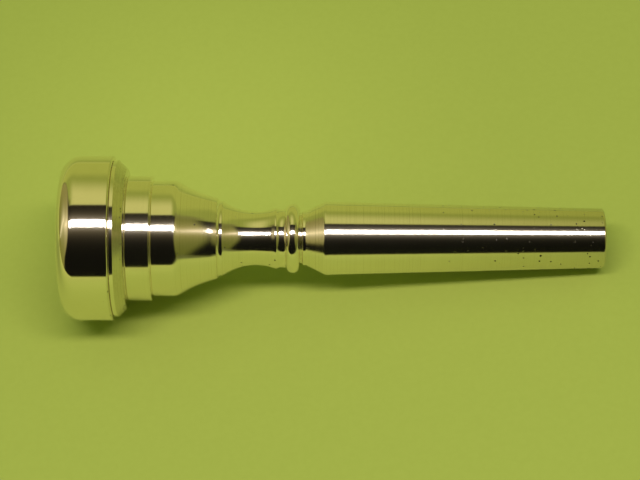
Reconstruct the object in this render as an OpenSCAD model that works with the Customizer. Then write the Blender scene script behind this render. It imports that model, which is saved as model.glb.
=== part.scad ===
// Screw-rim trumpet mouthpiece: a rim, a cup and a backbore with a tapered shank, turned from brass bar.
// The axis lies along X. The origin is the centre of the shank's small end, and the rim points to -X.

/* [Rim] */
// Outside diameter of the rim
rim_d = 27; // [26.4:0.1:29]
// Length of the rim from the lip plane to its rear face
rim_len = 8.5; // [7.9:0.1:10]
// Radius of the rim's outer rounding
rim_outer_round = 3.2; // [2:0.1:3.4]
// Radius of the rim's inner rounding, from the crest in to the bite
rim_inner_round = 2; // [1:0.1:2.1]
// Radius of the rounding on the rim's rear edge
rim_rear_round = 0.3; // [0.1:0.05:0.6]

/* [Cup outside] */
// Diameter of the flange that the rim seats on
flange_d = 25.7; // [24.6:0.1:26.2]
// Small chamfer on the flange's front edge
flange_front_chamfer = 0.2; // [0.05:0.05:0.3]
// Length of the flange's straight edge
flange_land = 0.5; // [0.3:0.1:1.5]
// Long chamfer behind the flange's straight edge
flange_chamfer = 1.45; // [0.6:0.05:1.6]
// Diameter of the band behind the flange
band_d = 20.45; // [19.6:0.05:21.4]
// Length of the band
band_len = 4.1; // [3:0.1:6]
// Radius of the rounding on the band's front edge
band_front_round = 0.4; // [0.1:0.05:0.6]
// Diameter of the collar behind the band
collar_d = 18.95; // [17.6:0.05:19.4]
// Length of the collar
collar_len = 3.35; // [2:0.05:5]
// Radius of the rounding on the collar's front edge
collar_front_round = 0.35; // [0.1:0.05:0.6]
// Radius of the rounding from the collar into the flare
collar_round = 2.2; // [1:0.1:3]
// Radius of the flare's hollow curve
flare_round = 20; // [16:1:40]
// Length of the flare, from the collar to the cup's rear face
flare_len = 7.25; // [6.5:0.05:9]
// Diameter of the cup's rear face
cup_end_d = 13.24; // [12.9:0.02:14.4]

/* [Air column] */
// Inside diameter of the cup at the bite
bite_d = 16.5; // [15.6:0.05:16.6]
// Depth of the cup from the lip plane to the throat
cup_depth = 10.7; // [9:0.1:12]
// Radius of the rounding from the cup into the throat
throat_round = 1; // [0.3:0.1:1.5]
// Diameter of the throat
throat_d = 3.66; // [3.4:0.02:4]
// Length of the backbore's quick first opening
backbore_front_len = 26; // [20:1:34]
// Diameter of the backbore where its slow opening starts
backbore_mid_d = 6.2; // [5:0.1:6.4]
// Diameter of the backbore at the shank's end
backbore_end_d = 8.4; // [7.6:0.1:8.6]

/* [Screw joints] */
// Thread diameter of the cup's tenon, which the rim screws on
tenon_d = 20.6; // [19.6:0.1:21.6]
// Length of the tenon
tenon_len = 4.4; // [3.4:0.1:5]
// Thread diameter of the backbore's nipple, which screws into the cup
nipple_d = 8.8; // [7.6:0.1:9.6]
// Length of the nipple
nipple_len = 9; // [6:0.1:10]
// Radial clearance of a thread in its tapped hole
thread_clearance = 0.05; // [0.02:0.01:0.1]
// Depth of the threads, which the run-out grooves also have
thread_depth = 0.45; // [0.3:0.05:0.55]
// Width of the run-out groove at the root of each thread
runout_w = 0.8; // [0.4:0.1:1.2]
// Gap between a thread's free end and the bottom of its hole
thread_end_gap = 0.1; // [0.05:0.05:0.4]

/* [Neck] */
// Diameter of the backbore's front shoulder, which seats on the cup
shoulder_d = 13.1; // [12.8:0.1:13.2]
// Radius of the fillet from the shoulder down to its land
shoulder_fillet = 0.65; // [0.6:0.05:1]
// Diameter of the land behind the shoulder
shoulder_land_d = 12.26; // [12:0.02:12.6]
// Length of that land
shoulder_land = 0.25; // [0.1:0.05:1]
// Diameter of the neck at its waist
waist_d = 8.82; // [8.2:0.02:9.4]
// Radius of the neck's hollow curve in front of the waist
neck_front_round = 9.35; // [6:0.05:16]
// Radius of the neck's hollow curve behind the waist
neck_rear_round = 8.55; // [5:0.05:16]
// Diameter of the narrow crest where the neck meets the cove
crest_d = 10.02; // [9.88:0.02:10.6]
// Length of the crest
crest_len = 0.22; // [0.1:0.02:0.6]
// Length of the cove between the crest and the ring
cove_len = 1.45; // [1.1:0.05:2.2]
// Depth of the cove under the line between its two edges
cove_depth = 0.2; // [0.1:0.02:0.35]
// Diameter of the cove's rear edge, at the foot of the ring
cove_end_d = 9.86; // [9.2:0.02:10]
// Diameter of the ring
ring_d = 11.36; // [10.8:0.02:12]
// Width of the ring, which is an arc in section
ring_w = 2.34; // [2.2:0.02:2.8]
// Diameter at the bottom of the notch behind the ring
notch_d = 8.42; // [8:0.02:8.8]
// Width of the notch's flat bottom
notch_w = 0.35; // [0.1:0.05:0.6]
// Length of the notch's sloping rear side
notch_slope_len = 0.1; // [0.05:0.05:0.4]

/* [Shank] */
// Diameter of the land between the notch and the cone
cone_land_d = 8.92; // [8.82:0.02:9.4]
// Length of that land
cone_land_len = 0.44; // [0.3:0.02:1]
// Length of the cone that widens to the shank
cone_len = 3.2; // [2:0.1:5]
// Radius of the rounding from the cone into the shank
shank_round = 0.9; // [0.3:0.1:2]
// Length of the tapered shank
shank_len = 45.45; // [38:0.05:52]
// Diameter of the shank's small end
shank_tip_d = 9.76; // [9.5:0.02:10]
// Length over which the shank's diameter changes by one unit
shank_taper = 20; // [19:0.5:25]
// Radius of the rounding on the shank's end
shank_tip_round = 0.4; // [0.1:0.05:0.45]

/* [Hidden] */
$fn = 128;

// Radii that follow from the diameters
rim_r = rim_d / 2;
bite_r = bite_d / 2;
throat_r = throat_d / 2;
tenon_r = tenon_d / 2 - thread_clearance;
tenon_hole_r = tenon_d / 2 + thread_clearance;
nipple_r = nipple_d / 2 - thread_clearance;
nipple_hole_r = nipple_d / 2 + thread_clearance;
flange_r = flange_d / 2;
flange_rear_r = flange_r - flange_chamfer;
band_r = band_d / 2;
collar_r = collar_d / 2;
shoulder_r = shoulder_d / 2;
land_r = shoulder_land_d / 2;
waist_r = waist_d / 2;
crest_r = crest_d / 2;
cove_end_r = cove_end_d / 2;
ring_r = ring_d / 2;
notch_r = notch_d / 2;
cone_land_r = cone_land_d / 2;

// Distances back from the lip plane
seat_y = rim_len;
tenon_y = seat_y - tenon_len;
flange_chamfer_y = seat_y + flange_front_chamfer + flange_land;
band_y = flange_chamfer_y + flange_chamfer;
collar_y = band_y + band_len;
flare_y = collar_y + collar_len;
joint_y = flare_y + flare_len;
nipple_y = joint_y - nipple_len;
shoulder_land_y = joint_y + axial_run(shoulder_fillet, shoulder_r - land_r);
neck_y = shoulder_land_y + shoulder_land;
waist_y = neck_y + axial_run(neck_front_round, land_r - waist_r);
crest_y = waist_y + axial_run(neck_rear_round, crest_r - waist_r);
cove_y = crest_y + crest_len;
ring_y = cove_y + cove_len;
ring_mid_y = ring_y + ring_w / 2;
notch_y = ring_y + ring_w;
notch_slope_y = notch_y + notch_w;
cone_land_y = notch_slope_y + notch_slope_len;
cone_y = cone_land_y + cone_land_len;
shank_y = cone_y + cone_len;
tip_y = shank_y + shank_len;
backbore_mid_y = nipple_y + backbore_front_len;

// Half the taper is the shank's slope, and its front rounding touches the cone and the slope
shank_slope = 1 / (2 * shank_taper);
shank_tilt = atan(shank_slope);
shank_front = [shank_tip_d / 2 + shank_slope * shank_len, shank_y];
cone_tilt = atan((shank_front.x - cone_land_r) / cone_len);
shank_round_reach = shank_round * tan((cone_tilt + shank_tilt) / 2);
cone_touch = shank_front - shank_round_reach * [sin(cone_tilt), cos(cone_tilt)];
shank_touch = shank_front + shank_round_reach * [-sin(shank_tilt), cos(shank_tilt)];
shank_centre = cone_touch + shank_round * [-cos(cone_tilt), sin(cone_tilt)];

// The shank's tip rounding starts on the slope and runs into the end face
tip_round_y = tip_y - shank_tip_round;
tip_round_r = shank_tip_d / 2 + shank_slope * shank_tip_round;

// The cup's wall is an arc that leaves the bite along the axis and reaches the throat at the cup's depth
bowl_round = axial_arc(cup_depth - rim_inner_round, bite_r - throat_r);
bowl_centre = [bite_r - bowl_round, rim_inner_round];
throat_centre_r = throat_r + throat_round;
throat_centre_y = sqrt(pow(bowl_round + throat_round, 2) - pow(throat_centre_r - bowl_centre.x, 2));
throat_centre = [throat_centre_r, bowl_centre.y + throat_centre_y];
throat_touch = between(bowl_centre, throat_centre, bowl_round / (bowl_round + throat_round));

// The flare's arc ends on the cup's rear face and runs smoothly into the collar's rounding
collar_centre = [collar_r - collar_round, flare_y];
flare_end = [cup_end_d / 2, joint_y];
flare_centre = crossing(collar_centre, collar_round + flare_round, flare_end, flare_round);
flare_start = between(collar_centre, flare_centre, collar_round / (collar_round + flare_round));

// The cove's arc is hollow between its two edges, and the ring's arc swells between its own
cove_chord = [cove_end_r - crest_r, cove_len];
cove_round = axial_arc(norm(cove_chord) / 2, cove_depth);
cove_out = [cove_chord.y, -cove_chord.x] / norm(cove_chord);
cove_centre = [crest_r, cove_y] + cove_chord / 2 + cove_out * (cove_round - cove_depth);
ring_round = axial_arc(ring_w / 2, ring_r - cove_end_r);

// How far cuts reach past the faces that they open, and hidden ends reach into the next length
past = 1;
// Hair's breadth by which an arc passes the line or arc that it runs into, so that the two cross
hair = 0.0005;

// Radius of an arc that starts along the axis and moves out by rise over run
function axial_arc(run, rise) = (run * run + rise * rise) / (2 * rise);

// Length over which an arc that starts along the axis moves out by rise
function axial_run(round, rise) = sqrt(round * round - pow(round - rise, 2));

// Point on the line from a to b at a share of the way
function between(a, b, share) = a + (b - a) * share;

// Where two circles cross, on the right hand of the way from a to b
function crossing(a, a_round, b, b_round) =
    let (gap = norm(b - a))
    let (along = (gap * gap + a_round * a_round - b_round * b_round) / (2 * gap))
    let (aside = sqrt(a_round * a_round - along * along))
    let (way = (b - a) / gap)
    a + along * way + aside * [way.y, -way.x];

// Half profiles have the radius along X and the distance back from the lip plane along Y

// Straight turned length from radius r1 at y1 to radius r2 at y2
module straight(y1, r1, y2, r2) {
    polygon([[0, y1], [r1, y1], [r2, y2], [0, y2]]);
}

// Straight turned length of radius r with a round hollow cut in it about a centre
module hollowed(y1, y2, r, centre, round) {
    difference() {
        straight(y1, r, y2, r);
        translate(centre)
            circle(round);
    }
}

// Straight turned length of radius r with a rounded front edge
module rounded_front(y1, y2, r, round) {
    straight(y1, r - round, y1 + round, r - round);
    intersection() {
        translate([r - round, y1])
            square(round);
        translate([r - round, y1 + round])
            circle(round);
    }
    straight(y1 + round, r, y2, r);
}

// Straight turned length of radius r with a rounded rear edge
module rounded_rear(y1, y2, r, round) {
    straight(y1, r, y2 - round, r);
    intersection() {
        translate([r - round, y2 - round])
            square(round);
        translate([r - round, y2 - round])
            circle(round);
    }
    straight(y2 - round, r - round, y2, r - round);
}

// Thread's plain envelope with a lead chamfer at its free end and a run-out groove at its root
module thread_envelope(free_y, root_y, r) {
    lead_y = free_y + thread_depth;
    runout_y = root_y - runout_w;
    straight(free_y, r - thread_depth, lead_y, r);
    straight(lead_y, r, runout_y, r);
    straight(runout_y, r - thread_depth, root_y, r - thread_depth);
}

// Tapped hole with a lead chamfer at its mouth, which a thread's root closes
module tapped_hole(bottom_y, mouth_y, r) {
    lead_y = mouth_y - thread_depth;
    straight(bottom_y - thread_end_gap, r, lead_y, r);
    straight(lead_y, r, mouth_y, r + thread_depth);
    straight(mouth_y, r + thread_depth, mouth_y + past, r + thread_depth);
}

// Air column from the mouth of the cup to the end of the shank
module air_column() {
    crest = bite_r + rim_inner_round;
    difference() {
        straight(-past, crest, rim_inner_round, crest);
        translate([crest, rim_inner_round])
            circle(rim_inner_round);
    }
    intersection() {
        straight(rim_inner_round, bite_r, throat_centre.y, bite_r);
        translate(bowl_centre)
            circle(bowl_round + hair);
    }
    difference() {
        polygon([[0, throat_touch.y], throat_touch, throat_centre, [0, throat_centre.y]]);
        translate(throat_centre)
            circle(throat_round);
    }
    straight(throat_centre.y, throat_r, nipple_y, throat_r);
    straight(nipple_y, throat_r, backbore_mid_y, backbore_mid_d / 2);
    straight(backbore_mid_y, backbore_mid_d / 2, tip_y, backbore_end_d / 2);
    straight(tip_y, backbore_end_d / 2, tip_y + past, backbore_end_d / 2);
}

// Outside of the rim, rounded in front and behind
module rim_outside() {
    rounded_front(0, rim_len / 2, rim_r, rim_outer_round);
    rounded_rear(rim_len / 2, rim_len, rim_r, rim_rear_round);
}

// Outside of the cup, from its tenon back to the end of the flare
module cup_outside() {
    flange_land_y = seat_y + flange_front_chamfer;
    thread_envelope(tenon_y, seat_y, tenon_r);
    straight(seat_y, flange_r - flange_front_chamfer, flange_land_y, flange_r);
    straight(flange_land_y, flange_r, flange_chamfer_y, flange_r);
    straight(flange_chamfer_y, flange_r, band_y, flange_rear_r);
    rounded_front(band_y, collar_y, band_r, band_front_round);
    rounded_front(collar_y, flare_y, collar_r, collar_front_round);
    intersection() {
        straight(flare_y, collar_r, joint_y, collar_r);
        translate(collar_centre)
            circle(collar_round);
    }
    straight(flare_y, flare_start.x - hair, flare_start.y, flare_start.x - hair);
    hollowed(flare_start.y, joint_y, collar_r, flare_centre, flare_round + hair);
}

// Outside of the backbore's neck, from its shoulder to the notch behind its ring
module neck_outside() {
    fillet_centre = [land_r + shoulder_fillet, shoulder_land_y];
    hollowed(joint_y, shoulder_land_y, fillet_centre.x, fillet_centre, shoulder_fillet);
    hollowed(shoulder_land_y, waist_y, land_r, [waist_r + neck_front_round, waist_y], neck_front_round);
    difference() {
        hollowed(waist_y, ring_mid_y, crest_r, [waist_r + neck_rear_round, waist_y], neck_rear_round);
        translate(cove_centre)
            circle(cove_round);
    }
    intersection() {
        straight(cove_y, ring_r + past, notch_y, ring_r + past);
        translate([ring_r - ring_round, ring_mid_y])
            circle(ring_round);
    }
    straight(ring_mid_y, cove_end_r - hair, notch_y, cove_end_r - hair);
}

// Outside of the backbore, from its nipple to the rounded end of the shank
module backbore_outside() {
    slope_end_y = tip_round_y + shank_slope * shank_tip_round;
    slope_end_r = tip_round_r - shank_slope * (slope_end_y - tip_round_y);
    tip_end_r = tip_round_r - shank_tip_round;
    thread_envelope(nipple_y, joint_y, nipple_r);
    neck_outside();
    straight(ring_mid_y, notch_r, notch_slope_y, notch_r);
    straight(notch_slope_y, notch_r, cone_land_y, cone_land_r);
    straight(cone_land_y, cone_land_r, cone_y, cone_land_r);
    straight(cone_y, cone_land_r, cone_touch.y, cone_touch.x);
    straight(cone_touch.y, cone_touch.x, shank_touch.y, shank_touch.x);
    translate(shank_centre)
        circle(shank_round + hair);
    straight(shank_touch.y, shank_touch.x, slope_end_y, slope_end_r);
    straight(slope_end_y, tip_end_r, tip_y, tip_end_r);
    translate([tip_end_r, tip_round_y])
        circle(shank_tip_round);
}

// Turns a half profile about X, with the shank's end at the origin
module turned() {
    rotate([0, 90, 0])
        translate([0, 0, -tip_y])
            rotate_extrude()
                children();
}

// Rim that the lips rest on, tapped from behind
module rim() {
    color("silver")
        turned()
            difference() {
                rim_outside();
                air_column();
                tapped_hole(tenon_y, seat_y, tenon_hole_r);
            }
}

// Cup with its threaded tenon in front and its tapped socket behind
module cup() {
    color("silver")
        turned()
            difference() {
                cup_outside();
                air_column();
                tapped_hole(nipple_y, joint_y, nipple_hole_r);
            }
}

// Backbore with its threaded nipple, turned neck and tapered shank
module backbore() {
    color("silver")
        turned()
            difference() {
                backbore_outside();
                air_column();
            }
}

rim();
cup();
backbore();
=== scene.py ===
import math

import bmesh
import bpy
from mathutils import Matrix, Vector
from mathutils.geometry import intersect_sphere_sphere_2d


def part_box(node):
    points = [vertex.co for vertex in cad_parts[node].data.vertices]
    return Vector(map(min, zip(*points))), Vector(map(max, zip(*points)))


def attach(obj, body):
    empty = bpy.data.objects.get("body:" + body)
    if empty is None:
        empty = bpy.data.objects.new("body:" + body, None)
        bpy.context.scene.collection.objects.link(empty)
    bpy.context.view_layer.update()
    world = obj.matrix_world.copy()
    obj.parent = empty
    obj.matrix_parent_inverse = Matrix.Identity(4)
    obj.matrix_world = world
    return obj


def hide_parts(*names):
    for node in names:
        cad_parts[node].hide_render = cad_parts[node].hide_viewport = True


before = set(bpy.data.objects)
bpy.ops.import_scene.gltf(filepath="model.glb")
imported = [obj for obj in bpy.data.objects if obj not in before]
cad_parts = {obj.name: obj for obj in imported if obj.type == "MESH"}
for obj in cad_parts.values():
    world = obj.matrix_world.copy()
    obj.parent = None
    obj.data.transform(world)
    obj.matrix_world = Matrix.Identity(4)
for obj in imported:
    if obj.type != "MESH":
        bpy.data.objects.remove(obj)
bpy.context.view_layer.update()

# Backbore: the long rear piece, turned from brass bar, polished and silver plated. Its nipple screws into
# the cup until the shoulder seats, and its tapered shank wedges in the instrument's receiver.
# Sizes are in millimetres: x is the distance behind the plane of the lips, r the radius.

MM = 0.001
LIP_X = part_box("rim")[0].x
ROUND_SEGMENTS = 192
ARC_STEP = math.radians(3)
SHARP_EDGE = math.radians(26)
HOLD_GAP = 0.1


def behind_lip(place):
    """Distance in millimetres of a place on the X axis behind the plane of the lips."""
    return (place - LIP_X) / MM


class ToolPath:
    """Half section of a turned piece, cut as a lathe tool cuts it, in millimetres."""

    def __init__(self, x, r, nose=0.05):
        self.metal = bmesh.new()
        self.start = self.tool = self.metal.verts.new((x, 0, r))
        self.corners = {self.start: nose}

    def step(self, place):
        """Draws one edge to a place."""
        made = bmesh.ops.extrude_vert_indiv(self.metal, verts=[self.tool])
        self.tool = made["verts"][0]
        self.tool.co = place

    def feed(self, x, r, nose=0.05):
        """Straight cut that ends in a corner with a nose rounding. Two loops near its ends hold it flat."""
        start, end = self.tool.co.copy(), Vector((x, 0, r))
        length = (end - start).length
        leave, arrive = (HOLD_GAP + near for near in (self.corners.get(self.tool, 0), nose))
        if length > 2 * (leave + arrive):
            self.step(start.lerp(end, leave / length))
            self.step(end.lerp(start, arrive / length))
        self.step(end)
        if nose:
            self.corners[self.tool] = nose

    def sweep(self, x, r, centre, nose=0):
        """Round cut about a centre. It ends in a corner only if a nose rounding is given."""
        centre_x, centre_r = centre
        here = self.tool.co
        turn = math.atan2(here.z - centre_r, here.x - centre_x) - math.atan2(r - centre_r, x - centre_x)
        turn = math.remainder(turn, math.tau)
        made = bmesh.ops.spin(
            self.metal, geom=[self.tool], cent=(centre_x, 0, centre_r), axis=(0, 1, 0), dvec=(0, 0, 0),
            angle=turn, steps=max(4, round(abs(turn) / ARC_STEP)), use_duplicate=False)
        self.tool = next(end for end in made["geom_last"] if isinstance(end, bmesh.types.BMVert))
        self.tool.co = x, 0, r
        if nose:
            self.corners[self.tool] = nose

    def feed_round(self, x, r, front_round, depth):
        """Cut down a face and up the rounded front edge behind it, with a narrow groove between them."""
        width = front_round - math.sqrt(front_round ** 2 - (front_round - depth) ** 2)
        self.feed(x, r - depth, nose=0.03)
        self.feed(x + width, r - depth, nose=0)
        self.sweep(x + front_round, r, (x + front_round, r - front_round))

    def turn(self):
        """Closes the section, breaks its corners and spins it about the axis."""
        self.corners.pop(self.tool, None)
        bmesh.ops.weld_verts(self.metal, targetmap={self.tool: self.start})
        for nose in sorted(set(self.corners.values())):
            corners = [corner for corner, size in self.corners.items() if size == nose]
            bmesh.ops.bevel(
                self.metal, geom=corners, offset=nose, offset_type="OFFSET", affect="VERTICES",
                segments=4, profile=0.5, material=-1)
        section = self.metal.verts[:] + self.metal.edges[:]
        bmesh.ops.spin(
            self.metal, geom=section, cent=(0, 0, 0), axis=(1, 0, 0), dvec=(0, 0, 0),
            angle=math.tau, steps=ROUND_SEGMENTS, use_merge=True)
        return self.metal


def wind_thread(x_from, x_to, wall_r, height, pitch, phase):
    """Winds a right-hand thread's ridge on a wall, out of it or, with a height below 0, into its hole. It
    starts and ends a little inside the two places given, and runs out into the wall there."""
    steps_a_turn, sink, inset = 48, 0.03, 0.2
    foot_half, crest_half = 0.31, 0.05
    first, last = x_from + inset, x_to - inset
    outward = math.copysign(1, height)
    x = x_from - pitch + phase * pitch
    foot, crest = wall_r - outward * sink, wall_r + height
    ridge = bmesh.new()
    corners = [ridge.verts.new((x + aside, 0, r)) for aside, r in (
        (-foot_half, foot), (-crest_half, crest), (crest_half, crest), (foot_half, foot))]
    edges = [ridge.edges.new((corners[i], corners[i - 1])) for i in range(4)]
    turns = math.ceil((x_to - x) / pitch) + 1
    bmesh.ops.spin(
        ridge, geom=corners + edges, cent=(0, 0, 0), axis=(1, 0, 0), dvec=(pitch / steps_a_turn, 0, 0),
        angle=turns * math.tau, steps=turns * steps_a_turn)
    for point in ridge.verts:
        radius = math.hypot(point.co.y, point.co.z)
        if (radius - wall_r) * outward > 0:
            room = min(point.co.x - first, last - point.co.x)
            point.co.yz *= (wall_r + outward * max(-sink / 2, min(abs(height), room))) / radius
    for end, way in ((first, -1), (last, 1)):
        bmesh.ops.bisect_plane(
            ridge, geom=ridge.verts[:] + ridge.edges[:] + ridge.faces[:], dist=0.00001,
            plane_co=(end, 0, 0), plane_no=(way, 0, 0), clear_outer=True)
    bmesh.ops.holes_fill(ridge, edges=[edge for edge in ridge.edges if edge.is_boundary], sides=0)
    return ridge


def finish_turned(name, metal, *threads):
    """Joins a turned piece and its threads, and makes its object where the CAD has it."""
    for ridge in threads:
        spare = bpy.data.meshes.new("ridge")
        ridge.to_mesh(spare)
        ridge.free()
        metal.from_mesh(spare)
        bpy.data.meshes.remove(spare)
    bmesh.ops.recalc_face_normals(metal, faces=metal.faces[:])
    for face in metal.faces:
        face.smooth = True
    for edge in metal.edges:
        edge.smooth = edge.calc_face_angle(0) < SHARP_EDGE
    bmesh.ops.scale(metal, vec=(MM, MM, MM), verts=metal.verts[:])
    bmesh.ops.translate(metal, vec=(LIP_X, 0, 0), verts=metal.verts[:])
    mesh = bpy.data.meshes.new(name)
    metal.to_mesh(mesh)
    metal.free()
    piece = bpy.data.objects.new(name, mesh)
    bpy.context.collection.objects.link(piece)
    return piece


class Shade:
    """A node socket that takes part in sums, so that a finish reads as plain arithmetic."""

    def __init__(self, tree, socket=None):
        self.tree = tree
        self.socket = socket

    def node(self, kind, settings, sockets, output=0):
        """Adds a node: its settings first, then the values or links of its sockets. Gives one output."""
        made = self.tree.nodes.new(kind)
        for name, value in settings.items():
            setattr(made, name, value)
        for name, value in sockets.items():
            if isinstance(value, Shade):
                self.tree.links.new(value.socket, made.inputs[name])
            else:
                made.inputs[name].default_value = value
        return Shade(self.tree, made.outputs[output])

    def math(self, operation, first, second=0.0):
        """Adds one Math node."""
        return self.node("ShaderNodeMath", {"operation": operation}, {0: first, 1: second})

    def fade(self, middle, reach):
        """1 at the middle, falling off to both sides over the reach."""
        return self.math("EXPONENT", self.math("ABSOLUTE", self - middle) * (-1 / reach))

    def __add__(self, other):
        return self.math("ADD", self, other)

    __radd__ = __add__

    def __sub__(self, other):
        return self.math("SUBTRACT", self, other)

    def __rsub__(self, other):
        return self.math("SUBTRACT", other, self)

    def __mul__(self, other):
        return self.math("MULTIPLY", self, other)

    __rmul__ = __mul__

    def rise(self, low, high):
        """0 below low, 1 above high, with a smooth slope between."""
        return self.node(
            "ShaderNodeMapRange", {"interpolation_type": "SMOOTHSTEP"},
            {"Value": self, "From Min": low, "From Max": high})

    def within(self, low, high, soft):
        """1 between low and high, fading over soft at both ends."""
        return self.rise(low - soft, low + soft) * (1 - self.rise(high - soft, high + soft))

    def mix(self, low, high):
        """Colour between two, with this value as the share of the second."""
        return self.node("ShaderNodeMix", {"data_type": "RGBA"}, {0: self, 6: low, 7: high}, 2)


SILVER = (0.95, 0.88, 0.81, 1)
AGED_SILVER = (0.83, 0.76, 0.61, 1)
DULL_SILVER = (0.60, 0.55, 0.42, 1)
TURNING_MARK = (0.62, 0.57, 0.45, 1)
TARNISH = (0.26, 0.19, 0.08, 1)
PIT = (0.05, 0.04, 0.02, 1)
REAMED = (0.34, 0.28, 0.15, 1)


def silver_plate(name, polish, bore, satin, dull, seams, pitted):
    """Bright silver plate. polish is the roughness that the buff leaves, and bore the reamed hole that it
    doesn't reach, as (radius at the lips, growth). satin lists the lengths with fine turning marks, as (from,
    to, how much), dull those coloured a darker, greyer silver, as (from, to, fade, how much), seams the
    corners where tarnish stays, as (x, half width, how much), and pitted the lengths with small pits, as
    (from, to, share of places)."""
    material = bpy.data.materials.new(name)
    material.use_nodes = True
    tree = material.node_tree
    shader = tree.nodes["Principled BSDF"]
    plate = Shade(tree)

    place = plate.node("ShaderNodeTexCoord", {}, {}, "Object")
    x = (plate.node("ShaderNodeSeparateXYZ", {}, {0: place}, "X") - LIP_X) * (1 / MM)
    off_axis = plate.node("ShaderNodeVectorMath", {"operation": "MULTIPLY"}, {0: place, 1: (0, 1, 1)})
    off_axis = plate.node("ShaderNodeVectorMath", {"operation": "LENGTH"}, {0: off_axis}, "Value")
    bore_r, bore_growth = bore
    reamed = 1 - (off_axis * (1 / MM) - x * bore_growth - bore_r).rise(0.1, 0.3)
    clouds = plate.node("ShaderNodeTexNoise", {}, {"Vector": place, "Scale": 260, "Detail": 4})
    specks = plate.node("ShaderNodeTexNoise", {}, {"Vector": place, "Scale": 2600, "Detail": 2})

    def rings(per_mm):
        """Turning marks: light and dark rings that many to the millimetre."""
        return plate.node(
            "ShaderNodeTexNoise", {"noise_dimensions": "1D"},
            {"W": x * per_mm + clouds * 0.4, "Scale": 1, "Detail": 2, "Roughness": 0.7})

    def lengths(listed):
        """Sum of the amounts of the listed lengths."""
        return sum(x.within(low, high, soft) * amount for low, high, soft, amount in listed)

    satin_fade, seam_fade, pitted_fade = 0.12, 0.08, 0.15
    hazy = lengths([(low, high, satin_fade, amount) for low, high, amount in satin])
    stain = lengths([(at - half, at + half, seam_fade, amount) for at, half, amount in seams])
    stain = stain * clouds.rise(0.30, 0.62) * specks.rise(0.38, 0.62)

    cells = {"Vector": place, "Scale": 1100}
    from_seed = plate.node("ShaderNodeTexVoronoi", {}, cells, "Distance")
    pick = plate.node("ShaderNodeTexVoronoi", {}, cells, "Color")
    pick = plate.node("ShaderNodeSeparateColor", {}, {0: pick}, "Red")
    chance = lengths([(low, high, pitted_fade, share) for low, high, share in pitted])
    pits = (1 - (from_seed + specks * 0.4).rise(0.31, 0.38)) * (chance - pick).rise(0, 0.02)

    marks = rings(3) * 0.5 + rings(11) * 0.5
    aged = clouds.rise(0.45, 0.80) * 0.22 + specks.rise(0.60, 0.75) * 0.06
    colour = lengths(dull).mix(aged.mix(SILVER, AGED_SILVER), DULL_SILVER)
    colour = (hazy * rings(5).rise(0.48, 0.75)).mix(colour, TURNING_MARK)
    colour = (stain * 0.8).mix(colour, TARNISH)
    colour = reamed.mix(pits.mix(colour, PIT), REAMED)
    roughness = polish + hazy * (0.03 + marks * 0.08) + clouds.rise(0.4, 0.8) * 0.01
    roughness = roughness + stain * 0.15 + pits * 0.3 + reamed * 0.3
    height = marks * (hazy * 0.9 + 0.05) + rings(24) * (hazy * 3 + 0.06) - pits * 4
    bump = plate.node("ShaderNodeBump", {}, {"Strength": 1, "Distance": 0.000002, "Height": height})

    tree.links.new(colour.socket, shader.inputs["Base Color"])
    tree.links.new(roughness.socket, shader.inputs["Roughness"])
    tree.links.new(bump.socket, shader.inputs["Normal"])
    tree.links.new((1 - reamed * 0.6).socket, shader.inputs["Metallic"])
    return material


def axial_run(round_r, rise):
    """Length over which an arc that starts along the axis moves out by a rise."""
    return math.sqrt(round_r ** 2 - (round_r - rise) ** 2)


throat_r = 1.83
thread_depth, run_out, end_gap = 0.45, 0.8, 0.1
nipple_x = behind_lip(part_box("backbore")[0].x)
nipple_root_r, nipple_pitch = 3.9, 0.75
joint_x = behind_lip(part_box("cup")[1].x)
shoulder_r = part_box("backbore")[1].z / MM
shoulder_fillet, shoulder_land = 0.65, 0.25
land_r = 6.13
land_x = joint_x + axial_run(shoulder_fillet, shoulder_r - land_r)
neck_x = land_x + shoulder_land
waist_r, neck_front_round, neck_rear_round = 4.41, 9.35, 8.55
waist_x = neck_x + axial_run(neck_front_round, land_r - waist_r)
crest_r, crest_len = 5.01, 0.22
crest_x = waist_x + axial_run(neck_rear_round, crest_r - waist_r)
cove_x, cove_w, cove_depth = crest_x + crest_len, 1.45, 0.2
ring_foot_x, ring_foot_r = cove_x + cove_w, 4.93
ring_w, ring_r = 2.34, 5.68
notch_x, notch_r = ring_foot_x + ring_w, 4.21
notch_w, notch_flank = 0.35, 0.1
cone_land_x, cone_land_r = notch_x + notch_w + notch_flank, 4.46
cone_land_w, cone_len = 0.44, 3.2
cone_x = cone_land_x + cone_land_w
shank_x, shank_slope = cone_x + cone_len, 1 / 40
tip_x = behind_lip(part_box("backbore")[1].x)
shank_end_r, tip_round = 4.88, 0.4
tip_round_x = tip_x - tip_round
tip_r = shank_end_r + tip_round * shank_slope
shank_r = tip_r + (tip_round_x - shank_x) * shank_slope
outlet_r = 4.2
bore_front_len, bore_mid_r = 26, 3.1
bore_mid_x = nipple_x + bore_front_len
bore_slope = (outlet_r - bore_mid_r) / (tip_x - bore_mid_x)

ring_rise = ring_r - ring_foot_r
ring_round = ((ring_w / 2) ** 2 + ring_rise ** 2) / (2 * ring_rise)
cove_half = Vector((ring_foot_x - cove_x, ring_foot_r - crest_r)) / 2
cove_round = (cove_half.length_squared + cove_depth ** 2) / (2 * cove_depth)
cove_out = Vector((-cove_half.y, cove_half.x)).normalized() * (cove_round - cove_depth)
cove_centre = Vector((cove_x, crest_r)) + cove_half + cove_out

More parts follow.
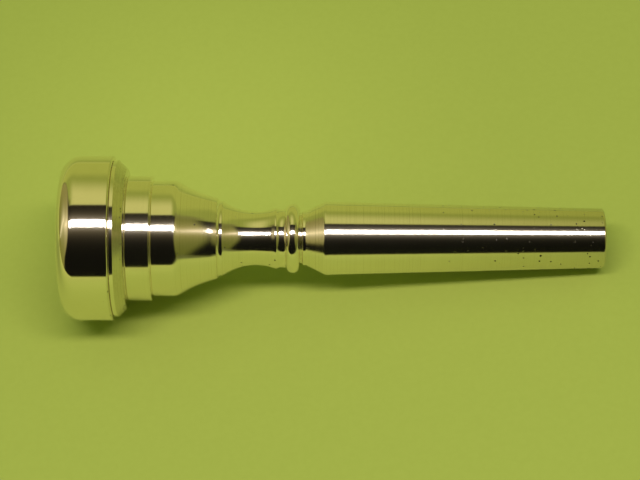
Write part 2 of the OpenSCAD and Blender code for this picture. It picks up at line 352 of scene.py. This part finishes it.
path = ToolPath(nipple_x, throat_r)
path.feed(nipple_x, nipple_root_r, nose=0.15)
path.feed(joint_x, nipple_root_r, nose=0.1)
path.feed(joint_x, shoulder_r)
path.sweep(land_x, land_r, (land_x, land_r + shoulder_fillet))
path.feed(neck_x, land_r)
path.sweep(waist_x, waist_r, (waist_x, waist_r + neck_front_round))
path.sweep(crest_x, crest_r, (waist_x, waist_r + neck_rear_round), nose=0.05)
path.feed(cove_x, crest_r)
path.sweep(ring_foot_x, ring_foot_r, cove_centre, nose=0.05)
path.sweep(notch_x, ring_foot_r, (ring_foot_x + ring_w / 2, ring_r - ring_round), nose=0.08)
path.feed(notch_x, notch_r, nose=0.16)
path.feed(notch_x + notch_w, notch_r, nose=0.12)
path.feed(cone_land_x, cone_land_r, nose=0.12)
path.feed(cone_x, cone_land_r, nose=0.08)
path.feed(shank_x, shank_r, nose=0.22)
path.feed(tip_round_x, tip_r, nose=0)
path.sweep(tip_x, tip_r - tip_round, (tip_round_x, tip_r - tip_round))
path.feed(tip_x, outlet_r, nose=0.08)
path.feed(bore_mid_x, bore_mid_r, nose=5)
path.feed(nipple_x, throat_r)
nipple_thread = wind_thread(nipple_x, joint_x - run_out, nipple_root_r, thread_depth, nipple_pitch, 0)
backbore = finish_turned("turned_backbore", path.turn(), nipple_thread)
backbore.data.materials.append(silver_plate(
    "backbore_silver",
    polish=0.092,
    bore=(outlet_r - tip_x * bore_slope, bore_slope),
    satin=[
        (land_x, waist_x, 0.3), (waist_x, ring_foot_x, 0.15), (cone_x, shank_x, 0.5), (shank_x, tip_x, 0.3)],
    dull=[(tip_x - 22, tip_x + 30, 24, 0.55)],
    seams=[
        (joint_x, 0.12, 0.35), (neck_x, 0.08, 0.15), (ring_foot_x, 0.08, 0.25), (notch_x + 0.15, 0.3, 0.35),
        (cone_x, 0.06, 0.15)],
    pitted=[(neck_x, crest_x, 0.2), (tip_x - 27, tip_x - 5, 0.45), (tip_x - 5, tip_x - 0.5, 0.8)]))
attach(backbore, "backbore")
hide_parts("backbore")

# Cup: the middle piece, turned from brass bar and silver plated. The rim screws on its tenon and seats on
# the flange, and the backbore's nipple screws into the socket behind the throat. The band is left plain.

seat_x = behind_lip(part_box("rim")[1].x)
tenon_x = behind_lip(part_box("cup")[0].x)
tenon_root_r, tenon_pitch = 9.8, 0.8
flange_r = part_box("cup")[1].z / MM
flange_front_chamfer, flange_land, flange_chamfer = 0.12, 0.58, 1.45
chamfer_x = seat_x + flange_front_chamfer + flange_land
band_x, flange_rear_r = chamfer_x + flange_chamfer, flange_r - flange_chamfer
band_r, band_w, band_round, groove_depth = 10.225, 4.1, 0.4, 0.13
collar_x, collar_r, collar_front_round = band_x + band_w, 9.475, 0.35
collar_w, collar_round = 3.35, 2.2
flare_x = collar_x + collar_w
flare_end_r, flare_round = 6.62, 20
socket_r, socket_x = 4.45, nipple_x - end_gap
lead = 0.45
bite_r, bite_x = 8.25, 2
bowl_end_x = 10.7
bowl_round = ((bowl_end_x - bite_x) ** 2 + (bite_r - throat_r) ** 2) / (2 * (bite_r - throat_r))
bowl_centre = Vector((bite_x, bite_r - bowl_round))
throat_round = 1
throat_rise = throat_r + throat_round - bowl_centre.y
throat_x = bite_x + math.sqrt((bowl_round + throat_round) ** 2 - throat_rise ** 2)
throat_centre = Vector((throat_x, throat_r + throat_round))
throat_touch = bowl_centre.lerp(throat_centre, bowl_round / (bowl_round + throat_round))
collar_centre = Vector((flare_x, collar_r - collar_round))
flare_centre = max(
    intersect_sphere_sphere_2d(
        collar_centre, collar_round + flare_round, (joint_x, flare_end_r), flare_round),
    key=lambda centre: centre.y)
flare_start = collar_centre.lerp(flare_centre, collar_round / (collar_round + flare_round))


def bowl_r(x):
    """Radius of the bowl at a distance behind the lip plane."""
    return bowl_centre.y + math.sqrt(bowl_round ** 2 - (x - bite_x) ** 2)


path = ToolPath(tenon_x, bowl_r(tenon_x))
path.feed(tenon_x, tenon_root_r, nose=0.15)
path.feed(seat_x, tenon_root_r, nose=0.1)
path.feed(seat_x, flange_r - flange_front_chamfer)
path.feed(seat_x + flange_front_chamfer, flange_r)
path.feed(chamfer_x, flange_r)
path.feed(band_x, flange_rear_r)
path.feed_round(band_x, band_r, band_round, groove_depth)
path.feed(collar_x, band_r, nose=0.1)
path.feed_round(collar_x, collar_r, collar_front_round, groove_depth)
path.feed(flare_x, collar_r, nose=0)
path.sweep(flare_start.x, flare_start.y, collar_centre)
path.sweep(joint_x, flare_end_r, flare_centre, nose=0.06)
path.feed(joint_x, socket_r + lead)
path.feed(joint_x - lead, socket_r)
path.feed(socket_x, socket_r)
path.feed(socket_x, throat_r)
path.feed(throat_x, throat_r, nose=0)
path.sweep(throat_touch.x, throat_touch.y, throat_centre)
path.sweep(tenon_x, bowl_r(tenon_x), bowl_centre)
tenon_thread = wind_thread(tenon_x, seat_x - run_out, tenon_root_r, thread_depth, tenon_pitch, 0)
socket_thread = wind_thread(socket_x, joint_x - lead, socket_r, -thread_depth, nipple_pitch, 0.5)
cup = finish_turned("turned_cup", path.turn(), tenon_thread, socket_thread)
cup.data.materials.append(silver_plate(
    "cup_silver",
    polish=0.09,
    bore=(throat_r, 0),
    satin=[(chamfer_x, band_x, 0.8), (flare_x + 0.4, joint_x, 0.3), (band_x, collar_x, 0.12)],
    dull=[(chamfer_x, band_x, 0.1, 0.6)],
    seams=[
        (seat_x, 0.15, 0.15), (chamfer_x + 0.75, 0.75, 0.15), (band_x, 0.25, 0.2), (collar_x, 0.2, 0.12),
        (joint_x, 0.1, 0.3)],
    pitted=[(chamfer_x + 0.7, band_x, 0.6), (flare_x, joint_x, 0.05)]))
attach(cup, "cup")
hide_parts("cup")

# Rim: the ring that the lips rest on, turned from brass bar, buffed to a mirror and silver plated. It is
# tapped from behind and screws on the cup's tenon until its rear face seats on the flange.

rim_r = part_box("rim")[1].z / MM
outer_round, rear_round = 3.2, 0.3
hole_x, hole_r = tenon_x - end_gap, 10.35

path = ToolPath(hole_x, bowl_r(hole_x))
path.sweep(bite_x, bite_r, bowl_centre)
path.sweep(0, bite_r + bite_x, (bite_x, bite_r + bite_x))
path.feed(0, rim_r - outer_round, nose=0)
path.sweep(outer_round, rim_r, (outer_round, rim_r - outer_round))
path.feed(seat_x - rear_round, rim_r, nose=0)
path.sweep(seat_x, rim_r - rear_round, (seat_x - rear_round, rim_r - rear_round))
path.feed(seat_x, hole_r + lead)
path.feed(seat_x - lead, hole_r)
path.feed(hole_x, hole_r)
path.feed(hole_x, bowl_r(hole_x))
hole_thread = wind_thread(hole_x, seat_x - lead, hole_r, -thread_depth, tenon_pitch, 0.5)
rim = finish_turned("turned_rim", path.turn(), hole_thread)
rim.data.materials.append(silver_plate(
    "rim_silver",
    polish=0.075,
    bore=(0, 0),
    satin=[(seat_x - rear_round, seat_x, 0.2)],
    dull=[(seat_x - rear_round, seat_x, 0.1, 0.3)],
    seams=[(seat_x, 0.2, 0.15)],
    pitted=[(seat_x - 1, seat_x, 0.1)]))
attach(rim, "rim")
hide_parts("rim")

# Floor: a sheet of plain pale green card. The mouthpiece lies on it on the rim's rear edge and on the end of
# the shank, so the card slopes by a few degrees against its axis.

CARD = (0.405, 0.447, 0.078, 1)
CARD_FIBRE = (0.38, 0.42, 0.07, 1)
# Lighter and darker copies of the card, for painted light and shade that only the metal's reflections show.
CARD_PAINTED_LIGHT = (0.445, 0.485, 0.088, 1)
CARD_BEHIND = (0.36, 0.40, 0.065, 1)
CARD_PAINTED_SHADE = (0.18, 0.20, 0.04, 1)
CARD_PAINTED_DEEP_SHADE = (0.10, 0.11, 0.015, 1)
UNLIT = (0, 0, 0, 1)
# A painted pool of light on the card behind the mouthpiece: its centre, its reach and its share of the glow.
GLINT_PLACE, GLINT_REACH, GLINT_SHARE = (-0.068, 0.029, -0.012), 0.06, 0.12
card_half = 2
rest_x = seat_x - rear_round
floor_low = Vector((LIP_X + rest_x * MM, 0, -rim_r * MM))
floor_high = Vector((LIP_X + tip_round_x * MM, 0, -tip_r * MM))
slope = math.atan2(floor_high.z - floor_low.z, floor_high.x - floor_low.x)

card = bmesh.new()
bmesh.ops.create_grid(card, x_segments=1, y_segments=1, size=card_half)
bmesh.ops.rotate(card, verts=card.verts[:], cent=(0, 0, 0), matrix=Matrix.Rotation(-slope, 3, "Y"))
bmesh.ops.translate(card, verts=card.verts[:], vec=floor_high)
mesh = bpy.data.meshes.new("floor")
card.to_mesh(mesh)
card.free()
floor = bpy.data.objects.new("floor", mesh)
bpy.context.collection.objects.link(floor)

material = bpy.data.materials.new("pale_card")
material.use_nodes = True
paper = Shade(material.node_tree)
shader = material.node_tree.nodes["Principled BSDF"]
place = paper.node("ShaderNodeTexCoord", {}, {}, "Object")
fibres = paper.node("ShaderNodeTexNoise", {}, {"Vector": place, "Scale": 900, "Detail": 5})
tint = (fibres.rise(0.2, 0.8) * 0.5).mix(CARD, CARD_FIBRE)
bump = paper.node("ShaderNodeBump", {}, {"Strength": 0.3, "Distance": 0.00005, "Height": fibres})
x = paper.node("ShaderNodeSeparateXYZ", {}, {0: place}, "X")
y = paper.node("ShaderNodeSeparateXYZ", {}, {0: place}, "Y")
off_line = paper.math("ABSOLUTE", y)
mirrored = paper.node("ShaderNodeLightPath", {}, {}, "Is Glossy Ray")

# Painted light and shade on the card, seen only in the metal's reflections: where it is lighter or darker,
# in metres from the end of the shank.
around = mirrored * off_line.rise(0.02, 0.09)
beyond = mirrored * y.rise(0.10, 0.16)
to_right = mirrored * x.rise(-0.01, 0.06) * (1 - off_line.rise(0.03, 0.12))
to_left = mirrored * (1 - x.rise(-0.15, -0.09)) * (1 - off_line.rise(0.005, 0.045)) * 0.55
front_right = mirrored * x.rise(0.01, 0.05) * (1 - y.rise(-0.09, -0.04))


def with_painted_light_and_shade(colour):
    """The card as the metal mirrors it, with painted light and shade: lighter around it, darker behind,
    to the sides and at the right.
    """
    colour = beyond.mix(around.mix(colour, CARD_PAINTED_LIGHT), CARD_BEHIND)
    return front_right.mix((to_right + to_left).mix(colour, CARD_PAINTED_SHADE), CARD_PAINTED_DEEP_SHADE)


# Far away the card only glows, so that its edge stays unseen. Behind the mouthpiece a painted pool of
# light glows on the card, in place of light thrown back by the metal.
far = paper.node("ShaderNodeVectorMath", {"operation": "LENGTH"}, {0: place}, "Value").rise(0.12, 0.4)
from_glint = paper.node(
    "ShaderNodeVectorMath", {"operation": "DISTANCE"}, {0: place, 1: GLINT_PLACE}, "Value")
glint = (1 - from_glint.rise(0, GLINT_REACH)) * y.rise(-0.005, 0.02)
tint = far.mix(with_painted_light_and_shade(tint), UNLIT)
glow = (far + glint * GLINT_SHARE).mix(UNLIT, with_painted_light_and_shade(CARD))
material.node_tree.links.new(tint.socket, shader.inputs["Base Color"])
material.node_tree.links.new(glow.socket, shader.inputs["Emission Color"])
material.node_tree.links.new(bump.socket, shader.inputs["Normal"])
shader.inputs["Emission Strength"].default_value = 1
shader.inputs["Roughness"].default_value = 0.9
mesh.materials.append(material)

# Light: one soft strip lamp overhead and a little in front, in a pale tent. The tent is open towards the
# camera, and that dark opening draws the dark band that polished silver needs to look like metal.

CAMERA_ELEVATION = math.radians(53)
LAMP_ELEVATION = math.radians(73.5)
LAMP_DISTANCE = 0.6
LAMP_SHIFT = Vector((-0.0426, 0, 0))
picture_middle = Vector((-0.04628, 0, 0))

lamp_data = bpy.data.lights.new("strip_lamp", "AREA")
lamp_data.shape = "RECTANGLE"
lamp_data.size, lamp_data.size_y = 0.685, 0.086
lamp_data.energy = 2.9
lamp_data.color = (1, 0.97, 0.92)
lamp = bpy.data.objects.new("strip_lamp", lamp_data)
upright = Vector((0, -math.cos(LAMP_ELEVATION), math.sin(LAMP_ELEVATION)))
lamp.location = picture_middle + upright * LAMP_DISTANCE + LAMP_SHIFT
lamp.rotation_euler = upright.to_track_quat("Z", "Y").to_euler()
bpy.context.collection.objects.link(lamp)

world = bpy.data.worlds.new("tent")
bpy.context.scene.world = world
world.use_nodes = True
tree = world.node_tree
tent = Shade(tree)
way = tent.node("ShaderNodeTexCoord", {}, {}, "Generated")


def along(axis):
    """How far a direction points along an axis."""
    return tent.node("ShaderNodeVectorMath", {"operation": "DOT_PRODUCT"}, {0: way, 1: axis}, "Value")


to_camera = (0, -math.cos(CAMERA_ELEVATION), math.sin(CAMERA_ELEVATION))
to_front = (0, -math.sin(CAMERA_ELEVATION), -math.cos(CAMERA_ELEVATION))
round_axis = tent.math("ARCTAN2", along(to_front), along(to_camera)) * math.degrees(1)
sideways = tent.math("ARCSINE", along((1, 0, 0))) * math.degrees(1)
lamp_angle = math.degrees(CAMERA_ELEVATION - LAMP_ELEVATION)

BACK_SHADE = (0.27, 0.31, 0.05, 1)
BACK_WALL = (0.54, 0.535, 0.155, 1)
WALL_EDGE = (0.19, 0.195, 0.045, 1)
LEFT_WALL = (0.26, 0.235, 0.06, 1)
LEFT_LIT = (1.1, 0.95, 0.52, 1)
FAR_LEFT_WALL = (0.20, 0.20, 0.035, 1)
FAR_LEFT_LIT = (0.95, 0.84, 0.44, 1)
RIGHT_WALL = (0.115, 0.13, 0.018, 1)
RIGHT_LIT = (0.45, 0.40, 0.12, 1)
STRIP = (1.25, 1.08, 0.7, 1)
LAMP_GLOW = (0.36, 0.285, 0.13, 1)
DARK = (0.005, 0.0045, 0.003, 1)
AMBIENT = (0.22, 0.32, 0.12, 1)

# Angles are in degrees: round_axis turns from the camera to the front, and sideways leans to the shank's end.
over_top = round_axis + 47 + sideways * sideways * 0.0035 + (1 - sideways.rise(-50, -32)) * 80
leaning = round_axis - sideways * 0.4
back = leaning.rise(-104, -88).mix(CARD_BEHIND, BACK_SHADE)
back = (leaning.rise(-90, -60) * sideways.within(-22, 11, 14)).mix(back, BACK_WALL)
back = (over_top.rise(-14, -5) * (1 - sideways.within(-26, 32, 6))).mix(back, WALL_EDGE)
left = round_axis.fade(-25, 13).mix(LEFT_WALL, LEFT_LIT)
far_left = round_axis.fade(-43, 20).mix(FAR_LEFT_WALL, FAR_LEFT_LIT)
left = sideways.rise(-66, -50).mix(far_left, left)
right = round_axis.fade(-22, 18).mix(RIGHT_WALL, RIGHT_LIT)
right = (round_axis.fade(-21, 3.6) * (1 - sideways.rise(38, 80))).mix(right, STRIP)
wall = sideways.rise(-5, 5).mix(left, right)
seen = over_top.rise(-1.5, 1.5).mix(back, wall)
past_left = sideways + 38 + round_axis.rise(-10, 45) * 19
past_right = sideways - 36.5 + round_axis.rise(-45, -20) * 7 - round_axis.rise(-5, 50) * 16
inside = over_top.rise(-1.5, 1.5) * past_left.rise(-4, 4) * (1 - past_right.rise(-6, 6))
dark = round_axis.fade(lamp_angle, 7).mix(DARK, LAMP_GLOW)
seen = inside.mix(seen, dark)
seen = tent.node("ShaderNodeLightPath", {}, {}, "Is Glossy Ray").mix(AMBIENT, seen)
seen = tent.node("ShaderNodeLightPath", {}, {}, "Is Camera Ray").mix(seen, CARD)
tree.links.new(seen.socket, tree.nodes["Background"].inputs["Color"])

# Camera: a long lens, which looks down on the mouthpiece from the front with its length across the picture.
# Its distance and aim give the framing of the photograph.

CAMERA_DISTANCE = 0.3488
AIM_DROP = 0.000245
camera_data = bpy.data.cameras.new("camera")
camera_data.lens = 120
camera_data.sensor_width = 36
camera = bpy.data.objects.new("camera", camera_data)
picture_up = Vector((0, math.sin(CAMERA_ELEVATION), math.cos(CAMERA_ELEVATION)))
aim = picture_middle - picture_up * AIM_DROP
camera.location = aim + Vector(to_camera) * CAMERA_DISTANCE
camera.rotation_euler = Vector(to_camera).to_track_quat("Z", "Y").to_euler()
camera_data.clip_start = 0.01
bpy.context.collection.objects.link(camera)
bpy.context.scene.camera = camera
bpy.context.scene.view_settings.view_transform = "Standard"
